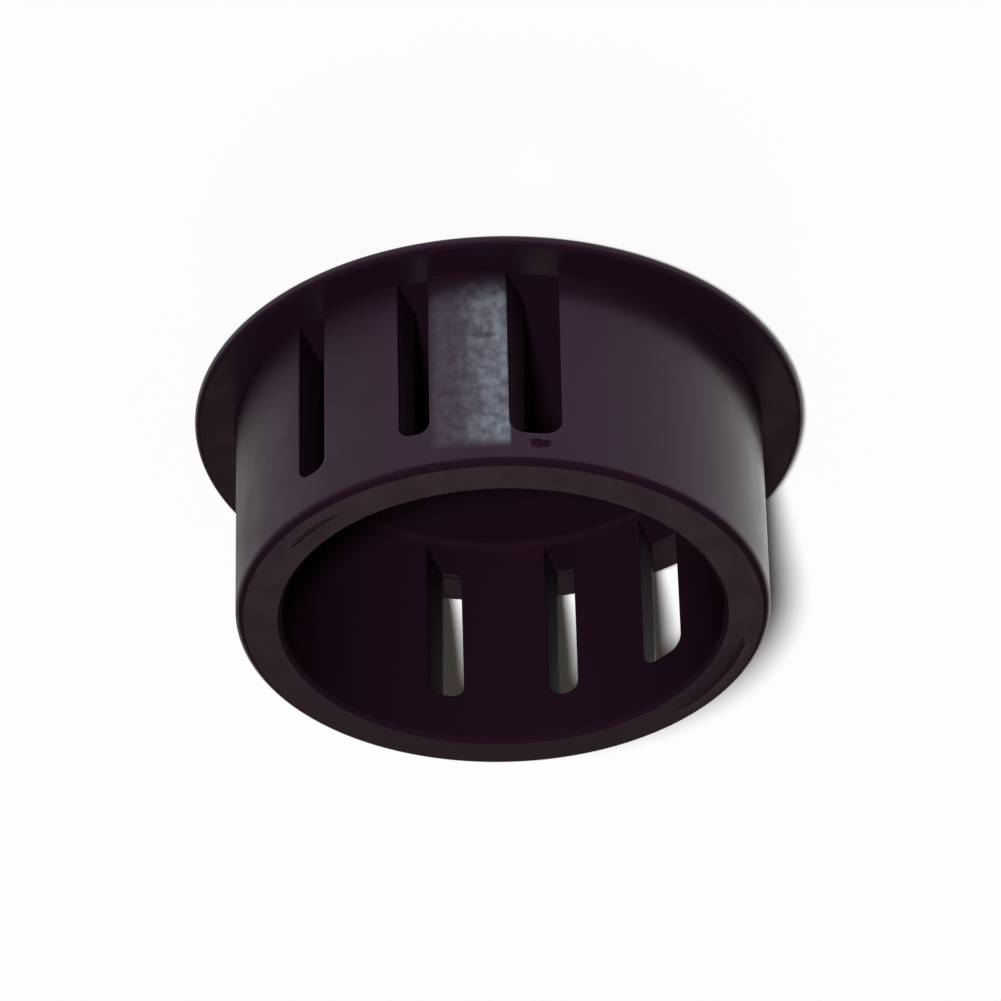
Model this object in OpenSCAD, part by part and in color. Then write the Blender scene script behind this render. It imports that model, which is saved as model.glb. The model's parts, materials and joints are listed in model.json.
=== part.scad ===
// Push-in cover cap for the nut at the root of a wiper arm, moulded in one piece.
// The cap lies on its outer face: the thin flange is at the bottom, the hollow skirt
// points up and its mouth is open at the top. Lengths are in millimetres.

/* [Flange] */
// outer diameter of the round flange
flange_d = 22; // [20.5:0.1:26]
// thickness of the flange at its thin edge
flange_edge_t = 0.35; // [0.2:0.05:0.8]
// thickness from the outer face to the seat of the flange
crown_t = 1.3; // [1.1:0.05:2.5]
// diameter of the flat in the middle of the outer face
crown_flat_d = 16; // [14:0.5:18]

/* [Skirt] */
// outer diameter of the skirt, pressed into the hole of the arm
skirt_d = 19; // [18:0.1:20]
// height of the skirt from the flange seat to the rim
skirt_h = 8.35; // [6:0.05:12]
// thickness of the wall at the rim
rim_wall = 1.65; // [1.2:0.05:2.4]
// extra thickness of the wall at the pocket floor, for mould draft
draft_t = 0.2; // [0:0.05:0.4]
// rounding of the rim's outer edge, the lead-in
rim_round = 0.3; // [0.1:0.05:0.6]
// chamfer of the rim's inner edge
mouth_chamfer = 0.15; // [0.05:0.05:0.4]
// depth of the pocket floor below the flange seat
floor_drop = 0.3; // [0.1:0.05:0.6]
// chamfer in the corner between the pocket floor and the wall
floor_chamfer = 0.25; // [0.1:0.05:0.8]

/* [Slots] */
// width of the narrow slots
slot_w = 1.1; // [1:0.05:2]
// width of the wide slots
wide_slot_w = 1.65; // [1.3:0.05:2.4]
// distance between neighbouring slots, centre to centre
slot_pitch = 4.1; // [3:0.05:5]
// height of the closed ring left between the narrow front slots and the rim
rim_ring_h = 1.65; // [1.4:0.05:3]
// corner radius of the slot ends
slot_corner_r = 0.45; // [0.1:0.05:0.45]
// corner radius of the end of the wide front slot
wide_corner_r = 0.6; // [0.1:0.05:0.6]
// length by which the wide front slot reaches past its neighbours
wide_reach = 0.3; // [0:0.05:0.5]
// length by which the back slots stop short of the front ones
back_short = 0.25; // [0:0.05:0.6]
// angle by which the back group of slots is turned from straight opposite
back_turn = 2.2; // [-5:0.1:5]

/* [Nick] */
// length of the nick around the ring above the wide front slot
nick_l = 0.9; // [0.4:0.1:1.5]
// radius of the nick's section
nick_r = 0.3; // [0.2:0.05:0.5]
// depth of the nick in the wall
nick_depth = 0.14; // [0.05:0.01:0.2]
// distance from the rim down to the middle of the nick
nick_drop = 0.9; // [0.7:0.05:1]
// distance round the ring from the middle of the wide front slot to the middle of the nick
nick_shift = 0.2; // [0:0.05:0.4]

/* [Hidden] */
$fn = 96;
flange_r = flange_d / 2;
crown_flat_r = crown_flat_d / 2;
skirt_r = skirt_d / 2;
rim_z = crown_t + skirt_h;
floor_z = crown_t - floor_drop;
mouth_r = skirt_r - rim_wall;
floor_r = mouth_r - draft_t;
front_slot_h = skirt_h - rim_ring_h;
back_slot_h = front_slot_h - back_short;
// the shoulder is an arc from the edge of the flat up to the flange edge
shoulder_w = flange_r - crown_flat_r;
shoulder_h = crown_t - flange_edge_t;
shoulder_r = (shoulder_w * shoulder_w + shoulder_h * shoulder_h) / (2 * shoulder_h);
// direction of the wide front slot where it meets the outside of the wall
wide_slot_angle = 180 + acos(slot_pitch / skirt_r);
nick_angle = wide_slot_angle - nick_shift / skirt_r * 180 / PI;

// half section of the flange with its flat outer face and curved shoulder
module crown_section() {
  square([crown_flat_r, crown_t]);
  intersection() {
    translate([crown_flat_r, 0]) square([shoulder_w, crown_t]);
    translate([crown_flat_r, shoulder_r]) circle(r = shoulder_r);
  }
}

// half section of the skirt as a full disc with a rounded outer edge at the rim
module skirt_section() {
  translate([0, crown_t]) square([skirt_r, skirt_h - rim_round]);
  translate([0, crown_t]) square([skirt_r - rim_round, skirt_h]);
  translate([skirt_r - rim_round, rim_z - rim_round]) circle(r = rim_round);
}

// half section of the pocket, open at the rim
module pocket_section() {
  polygon([
    [0, floor_z],
    [floor_r - floor_chamfer, floor_z],
    [floor_r, floor_z + floor_chamfer],
    [mouth_r, rim_z - mouth_chamfer],
    [mouth_r + mouth_chamfer, rim_z],
    [mouth_r + mouth_chamfer, rim_z + rim_wall],
    [0, rim_z + rim_wall]
  ]);
}

// outline of one slot, flush with the flange seat and rounded at its end
module slot_outline(w, h, corner_r) {
  translate([-w / 2, 0]) square([w, h - corner_r]);
  translate([corner_r - w / 2, 0]) square([w - 2 * corner_r, h]);
  for (side = [-1, 1])
    translate([side * (w / 2 - corner_r), h - corner_r]) circle(r = corner_r);
}

// one slot through the front wall, at a distance x from the middle
module slot(x, w, h, corner_r = slot_corner_r) {
  translate([x, 0, crown_t]) rotate([90, 0, 0])
    linear_extrude(height = flange_d) slot_outline(w, h, corner_r);
}

// the front slots stand along -Y, the back slots almost straight opposite
module slots() {
  slot(-slot_pitch, wide_slot_w, front_slot_h + wide_reach, wide_corner_r);
  slot(0, slot_w, front_slot_h);
  slot(slot_pitch, slot_w, front_slot_h);
  rotate([0, 0, 180 - back_turn]) {
    slot(slot_pitch, wide_slot_w, back_slot_h);
    slot(0, slot_w, back_slot_h);
    slot(-slot_pitch, slot_w, back_slot_h);
  }
}

// short gouge in the outside of the ring
module nick() {
  rotate([0, 0, nick_angle]) translate([skirt_r + nick_r - nick_depth, 0, rim_z - nick_drop])
    rotate([90, 0, 0]) cylinder(h = nick_l, r = nick_r, center = true);
}

module cap_body() {
  color("#1d1519") difference() {
    rotate_extrude() difference() {
      union() {
        crown_section();
        skirt_section();
      }
      pocket_section();
    }
    slots();
    nick();
  }
}

cap_body();
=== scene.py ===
import json
from math import atan2, cos, exp, pi, radians, sin, sqrt, tan

import bpy
from mathutils import Matrix, Vector
from mathutils.geometry import delaunay_2d_cdt


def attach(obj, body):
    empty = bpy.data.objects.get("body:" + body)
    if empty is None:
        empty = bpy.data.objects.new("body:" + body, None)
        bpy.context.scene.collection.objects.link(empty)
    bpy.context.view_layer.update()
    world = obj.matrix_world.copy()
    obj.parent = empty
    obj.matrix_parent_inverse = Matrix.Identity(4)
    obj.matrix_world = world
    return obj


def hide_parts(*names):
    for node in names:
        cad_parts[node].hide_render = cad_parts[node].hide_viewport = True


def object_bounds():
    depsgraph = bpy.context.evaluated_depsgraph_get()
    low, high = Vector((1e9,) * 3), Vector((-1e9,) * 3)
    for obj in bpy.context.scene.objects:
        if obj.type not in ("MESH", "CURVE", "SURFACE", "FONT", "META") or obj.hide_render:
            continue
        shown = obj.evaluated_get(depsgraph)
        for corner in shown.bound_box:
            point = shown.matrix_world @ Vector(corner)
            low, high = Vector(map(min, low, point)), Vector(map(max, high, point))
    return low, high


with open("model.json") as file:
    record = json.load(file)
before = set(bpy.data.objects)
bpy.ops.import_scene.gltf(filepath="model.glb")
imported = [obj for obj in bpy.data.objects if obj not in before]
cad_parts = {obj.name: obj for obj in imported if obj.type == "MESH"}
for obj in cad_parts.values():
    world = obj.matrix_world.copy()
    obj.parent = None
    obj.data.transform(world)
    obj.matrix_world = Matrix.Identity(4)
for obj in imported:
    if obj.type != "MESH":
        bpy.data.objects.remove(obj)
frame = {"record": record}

cad_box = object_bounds()
mounts = {m["name"]: m for m in frame["record"]["mounts"]}

# Sizes of the moulding in millimetres: the main ones come from the frame, the others are its walls,
# edges and slots as the cap is made. The turn is in degrees.
MM = 0.001
FLANGE_R = round(cad_box[1][0] / MM, 2)
RIM_Z = round(cad_box[1][2] / MM, 2)
SEAT_Z = round(mounts["flange_seat"]["pos_m"][2] / MM, 2)
SKIRT_R = mounts["skirt"]["dims"]["r_mm"]
FLANGE_EDGE_T = 0.35
CROWN_FLAT_R = 8.0
RIM_ROUND = 0.3
RIM_WALL = 1.65
DRAFT_T = 0.2
MOUTH_CHAMFER = 0.15
FLOOR_DROP = 0.3
FLOOR_CHAMFER = 0.25
SLOT_W = 1.1
WIDE_SLOT_W = 1.65
SLOT_PITCH = 4.1
RIM_RING_H = 1.65
WIDE_REACH = 0.3
BACK_SHORT = 0.25
SLOT_CORNER_R = 0.45
WIDE_CORNER_R = 0.6
BACK_TURN = 2.2
MOUTH_R = SKIRT_R - RIM_WALL
FLOOR_R = MOUTH_R - DRAFT_T
FLOOR_Z = SEAT_Z - FLOOR_DROP
FRONT_END_Z = RIM_Z - RIM_RING_H
BACK_END_Z = FRONT_END_Z - BACK_SHORT

# Softened edges and the fall of the rim's face, too small for the solid.
FLANGE_SOFT = 0.1
FLANGE_ROUND = 0.25
SLOT_SOFT = 0.09
MOUTH_SOFT = 0.03
RIM_LEAN = radians(3.3)

# Where the rim's face and the inner wall end, and how that wall slopes.
MOUTH_EDGE_R = MOUTH_R + MOUTH_CHAMFER
INNER_LOW_Z = FLOOR_Z + FLOOR_CHAMFER
INNER_HIGH_Z = RIM_Z - MOUTH_CHAMFER - MOUTH_SOFT
DRAFT = (MOUTH_R - FLOOR_R) / (RIM_Z - MOUTH_CHAMFER - INNER_LOW_Z)

# Stretches of a mould line on the rim's face: middle and half length in degrees, depth.
LINE_R = 8.74
LINE_HALF_W = 0.1
LINES = [(135.0, 17.0, 0.06), (-59.0, 9.0, 0.02)]

# Chip in the ring above the wide front slot, with a small dent beside it. It is deepest at NICK_STEP of
# its height and runs out over NICK_END at both ends. Its edge waves by a share of the height, at a pace
# along the ring and from a start. The plain wall keeps clear of it by half lengths along and up.
NICK_L = 0.94
NICK_H = 0.34
NICK_DEPTH = 0.17
NICK_DROP = 0.9
NICK_Z = RIM_Z - NICK_DROP
NICK_SHIFT = 0.2
NICK_STEP = 0.8
NICK_END = 0.1
NICK_TAPER = 0.35
NICK_WAVES = ((0.18, 9.0, 0.6), (0.08, 25.0, 0.0))
NICK_CLEAR_L = 0.6
NICK_CLEAR_H = 0.33
DENT_ALONG = 0.29
DENT_UP = 0.25
DENT_R = 0.05
DENT_DEPTH = 0.03

# Steps of the mesh: round the axis, up the walls, round edges and corners, across the mould line and the
# sills and over the nick. Flat faces have rings at these radii.
STEPS_ROUND = 288
WALL_ROWS = 12
EDGE_STEPS = 4
CORNER_STEPS = 8
FLOOR_STEPS = 6
RIM_STEPS = 12
SHOULDER_STEPS = 24
LINE_STEPS = 8
SILL_STEPS = 6
NICK_COLUMNS = 40
NICK_ROWS = 24
FLAT_RINGS = [0.0, 1.0, 2.5, 4.0, 5.5]
ANGLES = [2 * pi * k / STEPS_ROUND for k in range(STEPS_ROUND)]

# Corners are one where they round to the same point of a grid with POINTS_PER_MM. Wall points keep
# SLOT_CLEAR off a slot's softened edge, and faces that reach into it by more than SLOT_SLIP are left out.
# A surface is first filled over its whole hull, with points apart that differ by more than FILL_NEAR.
POINTS_PER_MM = 20000
SLOT_CLEAR = 0.1
SLOT_SLIP = 0.004
WHOLE_HULL = 0
FILL_NEAR = 1e-7


class Skin:
    """Faces of one moulding, joined where their corners meet, each corner with its own normal."""

    def __init__(self):
        self.known = {}
        self.points = []
        self.faces = []
        self.normals = []

    def corner(self, point):
        key = tuple(round(c * POINTS_PER_MM) for c in point)
        if key not in self.known:
            self.known[key] = len(self.points)
            self.points.append(point)
        return self.known[key]

    def face(self, corners):
        """Adds one face from (point, normal) pairs, turned so that it looks along its normals."""
        ids, normals = [], []
        for point, normal in corners:
            i = self.corner(point)
            if i not in ids:
                ids.append(i)
                normals.append(normal.normalized())
        if len(ids) < 3:
            return
        a, b, c = (self.points[i] for i in (ids[0], ids[1], ids[-1]))
        if (b - a).cross(c - a).dot(sum(normals, Vector())) < 0:
            ids.reverse()
            normals.reverse()
        self.faces.append(ids)
        self.normals.extend(normals)

    def grid(self, rows, closed=False):
        """Quads between neighbouring rows of (point, normal) pairs."""
        for low, high in zip(rows, rows[1:]):
            last = len(low) if closed else len(low) - 1
            for k in range(last):
                n = (k + 1) % len(low)
                self.face([low[k], low[n], high[n], high[k]])

    def lathe(self, profile):
        """A run of (r, z, outward r, outward z) turned round the axis."""
        rows = []
        for r, z, out_r, out_z in profile:
            rows.append([(round_point(r, a, z), round_point(out_r, a, out_z)) for a in ANGLES])
        self.grid(rows, closed=True)

    def piece(self, name):
        mesh = bpy.data.meshes.new(name)
        mesh.from_pydata([p * MM for p in self.points], [], self.faces)
        mesh.polygons.foreach_set("use_smooth", [True] * len(mesh.polygons))
        mesh.normals_split_custom_set(self.normals)
        mesh.update()
        obj = bpy.data.objects.new(name, mesh)
        bpy.context.scene.collection.objects.link(obj)
        return obj


def round_point(r, angle, z):
    return Vector((r * cos(angle), r * sin(angle), z))


def angle_of(point):
    return atan2(point.y, point.x) % (2 * pi)


def spread(low, high, steps):
    """Values between two ends, the ends left out."""
    return [low + (high - low) * k / steps for k in range(1, steps)]


def bend(start, corner, end, steps=EDGE_STEPS):
    """Profile points of a softened corner; the profile runs with the moulding on its left."""
    points = []
    for k in range(steps + 1):
        t = k / steps
        r, z = (s * (1 - t) ** 2 + c * 2 * t * (1 - t) + e * t * t for s, c, e in zip(start, corner, end))
        run_r, run_z = ((c - s) * (1 - t) + (e - c) * t for s, c, e in zip(start, corner, end))
        points.append((r, z, run_z, -run_r))
    return points


def inner_r(z):
    """Radius of the drafted inner wall at a height."""
    return FLOOR_R + DRAFT * (z - INNER_LOW_Z)


def rim_face_z(r):
    """Height of the rim's face, which falls a little from the mouth outwards."""
    return RIM_Z - (r - MOUTH_EDGE_R) * tan(RIM_LEAN)


WALL_TOP_Z = rim_face_z(SKIRT_R - RIM_ROUND) - RIM_ROUND / cos(RIM_LEAN)


class Slot:
    """One slot through the wall: its outline stands in a plane and is carried straight through."""

    def __init__(self, x, width, end_z, corner_r, turn):
        self.x = x
        self.half = width / 2
        self.end_z = end_z
        self.corner_r = corner_r
        self.turn = Matrix.Rotation(radians(turn), 3, "Z")
        self.back = self.turn.transposed()
        self.strip = self.make_strip()
        start, end = (angle_of(row[-1][0]) for row in (self.strip[0], self.strip[-1]))
        self.sill = [round_point(inner_r(SEAT_Z), a, SEAT_Z) for a in spread(start, end, SILL_STEPS)]

    def middle(self):
        return angle_of(self.on_wall(0, SEAT_Z, SKIRT_R))

    def outline(self):
        """(x, z, outward x, outward z) up one side, round the end and down the other side."""
        side_top = self.end_z - self.corner_r
        flat = self.half - self.corner_r
        rises = [SEAT_Z + (side_top - SEAT_Z) * k / WALL_ROWS for k in range(WALL_ROWS)]
        points = [(-self.half, z, -1.0, 0.0) for z in rises]
        for k in range(CORNER_STEPS + 1):
            a = pi - pi / 2 * k / CORNER_STEPS
            out_x, out_z = cos(a), sin(a)
            points.append((-flat + self.corner_r * out_x, side_top + self.corner_r * out_z, out_x, out_z))
        points.append((0.0, self.end_z, 0.0, 1.0))
        points += [(-x, z, -out_x, out_z) for x, z, out_x, out_z in reversed(points[:-1])]
        return points

    def on_wall(self, x, z, r):
        """The point of a round wall of radius r behind a point of the outline's plane."""
        x += self.x
        return self.turn @ Vector((x, -sqrt(r * r - x * x), z))

    def make_strip(self):
        """Rows of (point, normal) from the outer wall through the slot to the inner wall."""
        steps = [k / EDGE_STEPS for k in range(EDGE_STEPS + 1)]
        rows = []
        into = self.turn @ Vector((0, 1, 0))
        for x, z, out_x, out_z in self.outline():
            side = self.turn @ Vector((-out_x, 0, -out_z))
            wide_x = x + SLOT_SOFT * out_x
            wide_z = z + SLOT_SOFT * out_z
            row = []
            for r_here, r_wide, sign in ((SKIRT_R, SKIRT_R, 1), (inner_r(z), inner_r(wide_z), -1)):
                start = self.on_wall(wide_x, wide_z, r_wide)
                edge = self.on_wall(x, z, r_here)
                end = edge + into * (SLOT_SOFT * sign)
                wall = Vector((start.x, start.y, 0)).normalized() * sign
                if sign < 0:
                    wall.z = DRAFT
                soft = []
                for t in steps:
                    point = start * (1 - t) ** 2 + edge * (2 * t * (1 - t)) + end * t ** 2
                    soft.append((point, (wall * (1 - t) + side * t).normalized()))
                row += soft if sign > 0 else soft[::-1]
            rows.append(row)
        return rows

    def holds(self, point, grow):
        """Whether a point of a wall lies in the slot's outline grown by a margin."""
        p = self.back @ point
        if p.y > 0 or p.z < SEAT_Z:
            return False
        corner = self.corner_r + grow
        across = abs(p.x - self.x) - (self.half + grow - corner)
        above = p.z - (self.end_z + grow - corner)
        if across > 0 and above > 0:
            return across * across + above * above < corner * corner
        return across < corner and above < corner


WIDE_FRONT = Slot(-SLOT_PITCH, WIDE_SLOT_W, FRONT_END_Z + WIDE_REACH, WIDE_CORNER_R, 0)
FRONT_SLOTS = [WIDE_FRONT] + [Slot(x, SLOT_W, FRONT_END_Z, SLOT_CORNER_R, 0) for x in (0, SLOT_PITCH)]
BACK_SLOTS = [
    Slot(x, w, BACK_END_Z, SLOT_CORNER_R, 180 - BACK_TURN)
    for x, w in ((SLOT_PITCH, WIDE_SLOT_W), (0, SLOT_W), (-SLOT_PITCH, SLOT_W))
]
SLOTS = sorted(FRONT_SLOTS + BACK_SLOTS, key=Slot.middle)
NICK_ANGLE = WIDE_FRONT.middle() - NICK_SHIFT / SKIRT_R


def in_slot(point, grow):
    return any(s.holds(point, grow) for s in SLOTS)


def plain_runs():
    """Angles of the plain outer wall before each slot and after the last one, a little off the slots."""
    runs = []
    off = 0.002
    low = -1.0
    for s in SLOTS:
        high = angle_of(s.strip[0][0][0])
        runs.append([a for a in ANGLES if low + off < a < high - off])
        low = angle_of(s.strip[-1][0][0])
    runs.append([a for a in ANGLES if a > low + off])
    return runs


class Sheet:
    """Points of one surface, each laid flat as well, to be filled with triangles between its runs."""

    def __init__(self):
        self.flat = []
        self.solid = []
        self.runs = []

    def add(self, flat, point, normal):
        self.flat.append(Vector(flat))
        self.solid.append((point, normal))
        return len(self.solid) - 1

    def fill(self, skin, keep):
        """Adds the triangles whose middle is to be kept."""
        edges = [pair for run in self.runs for pair in zip(run, run[1:])]
        filled = delaunay_2d_cdt(self.flat, edges, [], WHOLE_HULL, FILL_NEAR)
        triangles, sources = filled[2:4]
        for triangle in triangles:
            corners = [self.solid[sources[i][0]] for i in triangle]
            middle = sum((point for point, normal in corners), Vector()) / 3
            if keep(middle):
                skin.face(corners)


class WallSheet(Sheet):
    """A round wall unrolled, from one seam line to the same line a turn later."""

    def __init__(self, radius, side, slope):
        super().__init__()
        self.radius = radius
        self.side = side
        self.slope = slope
        self.seams = [[], []]

    def put(self, angle, z):
        """Adds a point of the plain wall, unless a slot or the nick has taken its place."""
        point = round_point(self.radius(z), angle % (2 * pi), z)
        if in_slot(point, SLOT_SOFT + SLOT_CLEAR) and z > SEAT_Z:
            return None
        if self.side > 0 and by_nick(angle, z):
            return None
        normal = Vector((cos(angle) * self.side, sin(angle) * self.side, self.slope))
        return self.add((angle * SKIRT_R, z), point, normal)

    def carry(self, corner):
        """Adds a corner that another surface made."""
        point, normal = corner
        return self.add((angle_of(point) * SKIRT_R, point.z), point, normal)

    def row(self, z):
        """A row of points all round; its ends go into the seams."""
        made = [self.put(a, z) for a in ANGLES + [2 * pi]]
        self.seams[0].append(made[0])
        self.seams[1].append(made[-1])
        return made


def by_nick(angle, z):
    return abs(angle - NICK_ANGLE) * SKIRT_R < NICK_CLEAR_L and abs(z - NICK_Z) < NICK_CLEAR_H


def nick_cut(along, up):
    """Depth of the chip at a distance along the ring and up from its middle."""
    half = NICK_H / 2 * (1 + sum(share * sin(pace * along + start) for share, pace, start in NICK_WAVES))
    t = (up / half + 1) / 2
    dent = DENT_DEPTH * exp(-((along - DENT_ALONG) ** 2 + (up - DENT_UP) ** 2) / DENT_R ** 2)
    if not 0 < t < 1:
        return dent
    reach = NICK_L / 2 * (1 - NICK_TAPER * t)
    ends = min(1.0, max(0.0, (reach - abs(along)) / NICK_END))
    slope = min(t / NICK_STEP, (1 - t) / (1 - NICK_STEP))
    return NICK_DEPTH * slope * ends + dent


def nick_points():
    """Close points over the nick, sunk into the outer wall, with normals from its slope over a step d."""
    points = []
    d = 0.01
    for along in spread(-NICK_CLEAR_L, NICK_CLEAR_L, NICK_COLUMNS):
        for up in spread(-NICK_CLEAR_H, NICK_CLEAR_H, NICK_ROWS):
            angle = NICK_ANGLE + along / SKIRT_R
            lean = (nick_cut(along + d, up) - nick_cut(along - d, up)) / (2 * d)
            rise = (nick_cut(along, up + d) - nick_cut(along, up - d)) / (2 * d)
            out = Vector((cos(angle), sin(angle), 0))
            round_way = Vector((-sin(angle), cos(angle), 0))
            point = round_point(SKIRT_R - nick_cut(along, up), angle, NICK_Z + up)
            points.append((angle, NICK_Z + up, point, out + round_way * lean + Vector((0, 0, rise))))
    return points


def outer_wall(skin):
    sheet = WallSheet(lambda z: SKIRT_R, 1, 0.0)
    sheet.runs.append(sheet.row(WALL_TOP_Z))
    for z in spread(SEAT_Z, WALL_TOP_Z, WALL_ROWS)[::-1]:
        sheet.row(z)
    for angle, z, point, normal in nick_points():
        sheet.add((angle * SKIRT_R, z), point, normal)
    foot = []
    for angles, s in zip(plain_runs(), SLOTS + [None]):
        foot += [sheet.put(a, SEAT_Z) for a in angles]
        if s:
            foot += [sheet.carry(row[0]) for row in s.strip]
    foot.append(sheet.put(2 * pi, SEAT_Z))
    sheet.runs += [foot, sheet.seams[0] + foot[:1], sheet.seams[1] + foot[-1:]]
    sheet.fill(skin, lambda p: not in_slot(p, SLOT_SOFT - SLOT_SLIP))


def inner_wall(skin):
    sheet = WallSheet(inner_r, -1, DRAFT)
    sheet.runs.append(sheet.row(INNER_HIGH_Z))
    for z in spread(SEAT_Z, INNER_HIGH_Z, WALL_ROWS)[::-1]:
        sheet.row(z)
    sheet.runs.append(sheet.row(INNER_LOW_Z))
    for s in SLOTS:
        round_end = [sheet.carry(row[-1]) for row in s.strip]
        sill = [sheet.carry((p, -Vector((p.x, p.y, 0)))) for p in s.sill]
        sheet.runs.append(round_end + sill[::-1] + round_end[:1])
    sheet.runs += sheet.seams
    sheet.fill(skin, lambda p: not in_slot(p, SLOT_SOFT - SLOT_SLIP))


def seat(skin):
    """The flat seat of the flange, which runs through the slots to the pocket's edge."""
    sheet = Sheet()
    up = Vector((0, 0, 1))

    def put(points):
        return [sheet.add(p.xy, p, up) for p in points]

    edge = put([round_point(FLANGE_R - FLANGE_ROUND, a, SEAT_Z) for a in ANGLES])
    put([round_point((FLANGE_R + SKIRT_R) / 2, a, SEAT_Z) for a in ANGLES[::2]])
    notched = []
    for angles, s in zip(plain_runs(), SLOTS + [None]):
        notched += [round_point(SKIRT_R, a, SEAT_Z) for a in angles]
        if s:
            notched += [p for p, n in s.strip[0]] + s.sill
            notched += [p for p, n in s.strip[-1][::-1]]
    root = put(notched)
    sheet.runs += [edge + edge[:1], root + root[:1]]

    def outside(p):
        """Whether a point lies outside the notched root."""
        inside = False
        for a, b in zip(notched, notched[1:] + notched[:1]):
            if (a.y > p.y) != (b.y > p.y) and p.x < a.x + (b.x - a.x) * (p.y - a.y) / (b.y - a.y):
                inside = not inside
        return not inside

    sheet.fill(skin, outside)


def flange(skin):
    """Outer face, its curved shoulder and the thin edge."""
    width = FLANGE_R - CROWN_FLAT_R
    edge_z = SEAT_Z - FLANGE_EDGE_T
    bow = (width * width + edge_z * edge_z) / (2 * edge_z)
    skin.lathe([(r, 0.0, 0.0, -1.0) for r in FLAT_RINGS + [CROWN_FLAT_R]])
    shoulder = []
    for k in range(SHOULDER_STEPS + 1):
        run = (width - FLANGE_SOFT) * k / SHOULDER_STEPS
        drop = sqrt(bow * bow - run * run)
        shoulder.append((CROWN_FLAT_R + run, bow - drop, run, -drop))
    low_edge = bend(shoulder[-1][:2], (FLANGE_R, edge_z), (FLANGE_R, edge_z + FLANGE_SOFT))
    round_z = SEAT_Z - FLANGE_ROUND
    seat_edge = (FLANGE_R - FLANGE_ROUND, SEAT_Z)
    high_edge = bend((FLANGE_R, round_z), (FLANGE_R, SEAT_Z), seat_edge, CORNER_STEPS)
    skin.lathe(shoulder + low_edge + high_edge)


def mould_line(r, angle):
    """Depth of the mould line at a place of the rim's face."""
    across = max(0.0, 1 - ((r - LINE_R) / LINE_HALF_W) ** 2) ** 2
    depth = 0.0
    for middle, half_length, deep in LINES:
        off = (angle - radians(middle) + pi) % (2 * pi) - pi
        depth += deep * across * max(0.0, 1 - (off / radians(half_length)) ** 4)
    return depth


def rim(skin):
    """Rounded outer edge, the face with its mould line, and the softened chamfer of the mouth; the face's
    normals come from its slope over a step d."""
    outer_r = SKIRT_R - RIM_ROUND
    edge = []
    for k in range(RIM_STEPS + 1):
        a = (pi / 2 - RIM_LEAN) * k / RIM_STEPS
        edge.append((outer_r + RIM_ROUND * cos(a), WALL_TOP_Z + RIM_ROUND * sin(a), cos(a), sin(a)))
    skin.lathe(edge)
    flat_end = MOUTH_EDGE_R + MOUTH_SOFT
    line = [LINE_R + LINE_HALF_W * (1 - 2 * k / LINE_STEPS) for k in range(LINE_STEPS + 1)]
    d = 0.005
    rows = []
    for r in [edge[-1][0]] + line + [flat_end]:
        row = []
        for a in ANGLES:
            lean = tan(RIM_LEAN) + (mould_line(r + d, a) - mould_line(r - d, a)) / (2 * d)
            row.append((round_point(r, a, rim_face_z(r) - mould_line(r, a)), round_point(lean, a, 1.0)))
        rows.append(row)
    skin.grid(rows, closed=True)
    soft = MOUTH_SOFT * sqrt(0.5)
    chamfer_z = RIM_Z - MOUTH_CHAMFER
    high = bend(
        (flat_end, rim_face_z(flat_end)), (MOUTH_EDGE_R, RIM_Z), (MOUTH_EDGE_R - soft, RIM_Z - soft),
    )
    low = bend(
        (MOUTH_R + soft, chamfer_z + soft), (MOUTH_R, chamfer_z), (inner_r(INNER_HIGH_Z), INNER_HIGH_Z),
    )
    skin.lathe(high + low)


def pocket_floor(skin):
    """Floor of the pocket and the rounded corner round it."""
    flat_r = FLOOR_R - FLOOR_CHAMFER
    skin.lathe(bend((FLOOR_R, INNER_LOW_Z), (FLOOR_R, FLOOR_Z), (flat_r, FLOOR_Z), FLOOR_STEPS))
    skin.lathe([(r, FLOOR_Z, 0.0, 1.0) for r in [flat_r] + FLAT_RINGS[::-1]])


def make_cap():
    skin = Skin()
    flange(skin)
    seat(skin)
    outer_wall(skin)
    for s in SLOTS:
        skin.grid(s.strip)
    rim(skin)
    inner_wall(skin)
    pocket_floor(skin)
    return skin.piece("cap_moulding")


def linear(hex_colour):
    """Linear RGBA of an sRGB hex colour."""
    out = []
    for k in (0, 2, 4):
        c = int(hex_colour.lstrip("#")[k:k + 2], 16) / 255
        out.append(c / 12.92 if c <= 0.04045 else ((c + 0.055) / 1.055) ** 2.4)
    return (*out, 1.0)


def node(tree, kind, links=None, inputs=None, **settings):
    """Adds a node with its settings, the values of its inputs and the sockets linked to them."""
    made = tree.nodes.new(kind)
    for key, value in settings.items():
        setattr(made, key, value)
    for key, value in (inputs or {}).items():
        made.inputs[key].default_value = value
    for key, socket in (links or {}).items():
        tree.links.new(socket, made.inputs[key])
    return made


# Tab beside the wide front slot, in millimetres: the edge of its rubbed haze and painted highlight, and
# the middle and half size of a stretch where both are fainter.
TAB_EDGE_X = WIDE_SLOT_W / 2 - SLOT_PITCH
GAP_MIDDLE = (-2.5, -9.0, 4.1)
GAP_HALF = (0.5, 9.0, 0.13)


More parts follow.
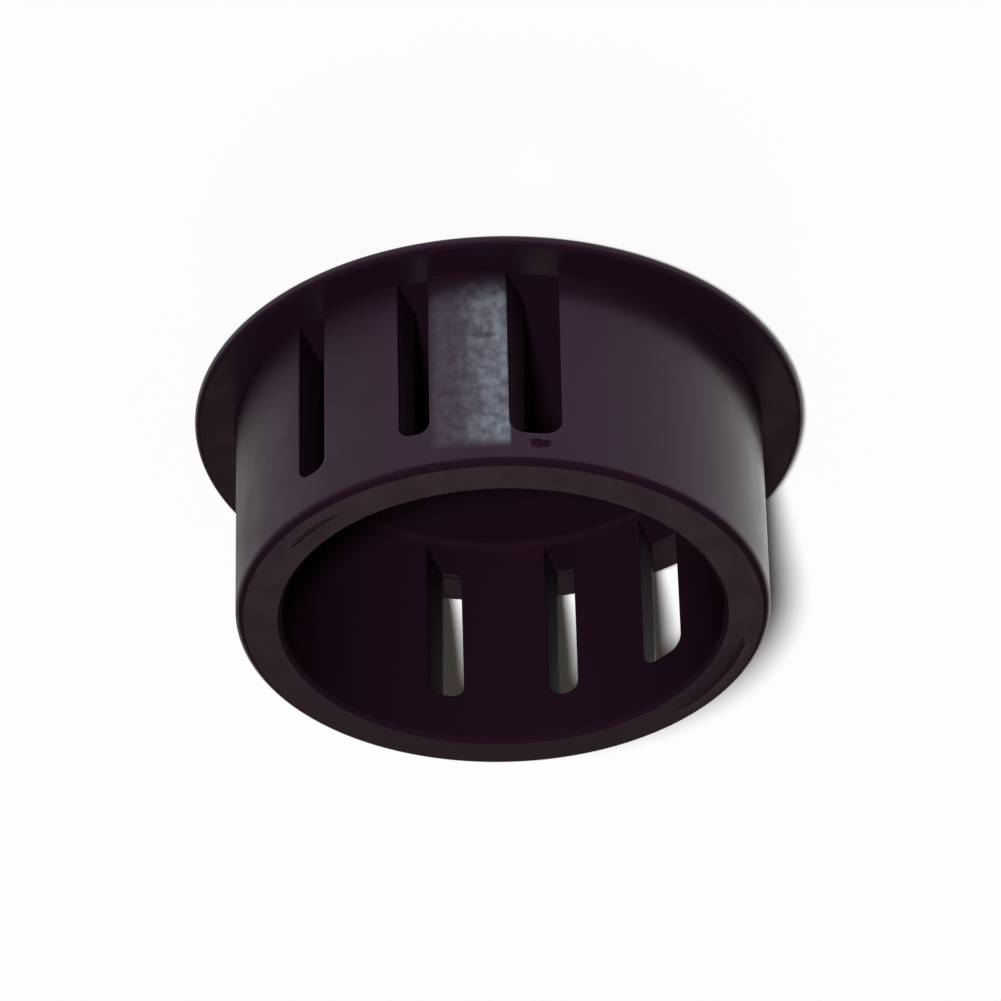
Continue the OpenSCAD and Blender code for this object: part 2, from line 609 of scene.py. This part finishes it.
def moulded_black_polypropylene():
    """Polypropylene injected into a polished steel mould: satin black with a plum cast, mirror-like at a
    low angle and faintly uneven. The inside, the flange and one side of the skirt are duller, and a tab is
    rubbed to a blue-grey haze, whose colour also holds a painted highlight."""
    material = bpy.data.materials.new("moulded_black_polypropylene")
    material.use_nodes = True
    tree = material.node_tree
    shader = tree.nodes["Principled BSDF"]
    shader.inputs["IOR"].default_value = 1.49
    shader.inputs["Specular IOR Level"].default_value = 0.32
    shader.inputs["Specular Tint"].default_value = linear("#f8d3fc")

    place = node(tree, "ShaderNodeTexCoord").outputs["Object"]
    in_mm = node(
        tree, "ShaderNodeVectorMath", {0: place}, {"Scale": 1 / MM}, operation="SCALE",
    ).outputs["Vector"]
    x, y, z = node(tree, "ShaderNodeSeparateXYZ", {0: in_mm}).outputs
    flat = node(tree, "ShaderNodeCombineXYZ", {"X": x, "Y": y}).outputs["Vector"]
    reach = node(tree, "ShaderNodeVectorMath", {0: flat}, operation="LENGTH").outputs["Value"]
    fields = {"x": x, "y": y, "z": z, "reach": reach}

    # sizes of the unevenness in mm: slow waves and a fine grain from the mould, clouds of gloss, and the
    # mottle and the upright streaks of the rubbed tab and its painted highlight; the grain is drawn
    # coarser than it is, to show
    for name, size, detail in (
        ("waves", (4.0, 4.0, 4.0), 2.0),
        ("grain", (0.12, 0.12, 0.12), 2.0),
        ("clouds", (1.6, 1.6, 1.6), 4.0),
        ("mottle", (0.35, 0.35, 0.35), 5.0),
        ("streaks", (0.2, 0.2, 1.1), 3.0),
    ):
        scaled = node(
            tree, "ShaderNodeVectorMath", {0: in_mm}, {1: [1 / s for s in size]}, operation="MULTIPLY",
        ).outputs["Vector"]
        fields[name] = node(
            tree, "ShaderNodeTexNoise", {"Vector": scaled}, {"Scale": 1.0, "Detail": detail},
        ).outputs["Fac"]

    # a short stretch across the tab where the rub and its painted highlight are fainter
    gap = node(
        tree, "ShaderNodeVectorMath", {0: in_mm}, operation="MULTIPLY_ADD",
        inputs={1: [1 / h for h in GAP_HALF], 2: [-m / h for m, h in zip(GAP_MIDDLE, GAP_HALF)]},
    ).outputs["Vector"]
    fields["gap"] = node(tree, "ShaderNodeVectorMath", {0: gap}, operation="LENGTH").outputs["Value"]

    # each field here is a product or a sum of fades; a row says which field a fade follows, from where to
    # where, and from what to what
    for name, operation, rows in (
        # the tab's rub: partly real scuffing, partly a painted highlight
        ("rubbed", "MULTIPLY", (
            ("mottle", 0.3, 0.7, 0.4, 1.0),
            ("streaks", 0.35, 0.7, 0.75, 1.0),
            ("reach", SKIRT_R - 0.12, SKIRT_R - 0.04, 0.0, 1.0),
            ("y", -7.5, -8.0, 0.0, 1.0),
            ("x", TAB_EDGE_X - SLOT_SOFT, TAB_EDGE_X, 0.0, 1.0),
            ("x", -3.0, -1.3, 1.0, 0.22),
            ("x", -1.0, -0.5, 1.0, 0.0),
            ("z", 1.4, 3.0, 0.0, 1.0),
            ("z", 8.4, 9.0, 1.0, 0.0),
            ("gap", 0.6, 1.3, 0.5, 1.0),
        )),
        # pocket and slots, which the less polished core of the mould shapes
        ("inside", "MULTIPLY", (
            ("reach", SKIRT_R - 0.3, SKIRT_R - 0.15, 1.0, 0.0),
            ("z", FLOOR_Z - 0.3, FLOOR_Z - 0.1, 0.0, 1.0),
            ("z", RIM_Z - 0.3, RIM_Z - 0.15, 1.0, 0.0),
        )),
        # outside of the skirt on its duller side
        ("dull_side", "MULTIPLY", (
            ("reach", SKIRT_R - 0.12, SKIRT_R - 0.04, 0.0, 1.0),
            ("reach", SKIRT_R + 0.04, SKIRT_R + 0.12, 1.0, 0.0),
            ("x", -2.0, 3.0, 0.0, 1.0),
        )),
        ("roughness", "ADD", (
            ("clouds", 0.3, 0.7, 0.24, 0.31),
            ("z", SEAT_Z + 0.02, SEAT_Z + 0.2, 0.15, 0.0),
            ("rubbed", 0.0, 1.0, 0.0, 0.25),
            ("inside", 0.0, 1.0, 0.0, 0.5),
            ("dull_side", 0.0, 1.0, 0.0, 0.25),
        )),
    ):
        total = None
        for field, start, end, low, high in rows:
            fade = node(
                tree, "ShaderNodeMapRange", {"Value": fields[field]}, interpolation_type="SMOOTHSTEP",
                inputs={"From Min": start, "From Max": end, "To Min": low, "To Max": high},
            ).outputs["Result"]
            if total:
                fade = node(
                    tree, "ShaderNodeMath", {0: total, 1: fade}, operation=operation,
                ).outputs["Value"]
            total = fade
        fields[name] = total

    # base colour, turned blue-grey on the tab by its rub together with a painted highlight
    colour = node(
        tree, "ShaderNodeMix", {"Factor": fields["rubbed"]}, data_type="RGBA",
        inputs={"A": linear("#180b15"), "B": linear("#5a616a")},
    )
    tree.links.new(colour.outputs["Result"], shader.inputs["Base Color"])
    tree.links.new(fields["roughness"], shader.inputs["Roughness"])

    # depths of the waves and of the grain, in mm
    swell = node(tree, "ShaderNodeBump", {"Height": fields["waves"]}, {"Distance": 0.012 * MM})
    bump = node(
        tree, "ShaderNodeBump", {"Height": fields["grain"], "Normal": swell.outputs["Normal"]},
        {"Distance": 0.0006 * MM},
    )
    tree.links.new(bump.outputs["Normal"], shader.inputs["Normal"])
    return material


def matt_white_board():
    """Painted board: plain white with no gloss."""
    material = bpy.data.materials.new("matt_white_board")
    material.use_nodes = True
    shader = material.node_tree.nodes["Principled BSDF"]
    shader.inputs["Base Color"].default_value = linear("#fcfcfc")
    shader.inputs["Roughness"].default_value = 0.9
    shader.inputs["Specular IOR Level"].default_value = 0.0
    return material


def direction(azimuth, elevation):
    """Unit vector towards an azimuth and an elevation in degrees."""
    a, e = radians(azimuth), radians(elevation)
    return Vector((cos(a) * cos(e), sin(a) * cos(e), sin(e)))


cap = make_cap()
cap.data.materials.append(moulded_black_polypropylene())
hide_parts("cap_body")
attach(cap, "root")

# Floor, just under the outer face, in metres.
FLOOR_HALF = 2.0
FLOOR_GAP = 0.00001
floor_mesh = bpy.data.meshes.new("floor")
corners = ((-1, -1), (1, -1), (1, 1), (-1, 1))
floor_mesh.from_pydata(
    [(x * FLOOR_HALF, y * FLOOR_HALF, -FLOOR_GAP) for x, y in corners], [], [(0, 1, 2, 3)],
)
floor_mesh.materials.append(matt_white_board())
floor = bpy.data.objects.new("floor", floor_mesh)
bpy.context.scene.collection.objects.link(floor)

# Camera, with the picture turned half round and a little more; lengths in metres, angles in degrees.
CAMERA_AZ = -108.1
CAMERA_EL = 35.36
CAMERA_D = 0.2407
AIM = Vector((0, 0, 0.00526))
ROLL = -181.28
FRAME_PX = 1001
FOCAL_PX = 6713.0
SHIFT_PX = (-0.55, 18.53)
camera_data = bpy.data.cameras.new("camera")
camera_data.sensor_width = 36.0
camera_data.lens = FOCAL_PX / FRAME_PX * camera_data.sensor_width
camera_data.shift_x, camera_data.shift_y = (s / FRAME_PX for s in SHIFT_PX)
camera = bpy.data.objects.new("camera", camera_data)
towards = direction(CAMERA_AZ, CAMERA_EL)
turned = Matrix.Rotation(radians(ROLL), 3, "Z").to_quaternion()
camera.rotation_mode = "QUATERNION"
camera.location = AIM + towards * CAMERA_D
camera.rotation_quaternion = (-towards).to_track_quat("-Z", "Y") @ turned
bpy.context.scene.collection.objects.link(camera)
bpy.context.scene.camera = camera

# Key lamp close beside the camera; its level makes a white floor just white, and gloss doesn't mirror it.
KEY_LEVEL = 0.965
KEY_AZ = CAMERA_AZ + 6.2
KEY_EL = 36.0
KEY_SPREAD = 6.0
key_data = bpy.data.lights.new("key", "SUN")
key_data.energy = KEY_LEVEL * pi / sin(radians(KEY_EL))
key_data.angle = radians(KEY_SPREAD)
key = bpy.data.objects.new("key", key_data)
key.rotation_mode = "QUATERNION"
key.rotation_quaternion = (-direction(KEY_AZ, KEY_EL)).to_track_quat("-Z", "Y")
key.visible_glossy = False
bpy.context.scene.collection.objects.link(key)

# Dim room with one soft window on the far side, which the flange and the rim mirror. It is full up to
# WINDOW_BRIGHT degrees from its middle and fades out at WINDOW_END.
ROOM_LEVEL = 0.035
WINDOW_LEVEL = 0.92
WINDOW_EL = 39.0
WINDOW_BRIGHT = 5.0
WINDOW_END = 12.0
window_middle = direction(CAMERA_AZ + 180, WINDOW_EL)
world = bpy.data.worlds.new("studio")
world.use_nodes = True
sky = world.node_tree
background = sky.nodes["Background"]
background.inputs["Color"].default_value = linear("#fff0e0")
where = node(sky, "ShaderNodeTexCoord").outputs["Generated"]
along = node(
    sky, "ShaderNodeVectorMath", {0: where}, {1: window_middle}, operation="DOT_PRODUCT",
).outputs["Value"]
level = node(
    sky, "ShaderNodeMapRange", {"Value": along}, interpolation_type="SMOOTHSTEP",
    inputs={
        "From Min": cos(radians(WINDOW_END)), "From Max": cos(radians(WINDOW_BRIGHT)),
        "To Min": ROOM_LEVEL, "To Max": WINDOW_LEVEL,
    },
)
sky.links.new(level.outputs["Result"], background.inputs["Strength"])
bpy.context.scene.world = world

bpy.context.scene.view_settings.view_transform = "Standard"
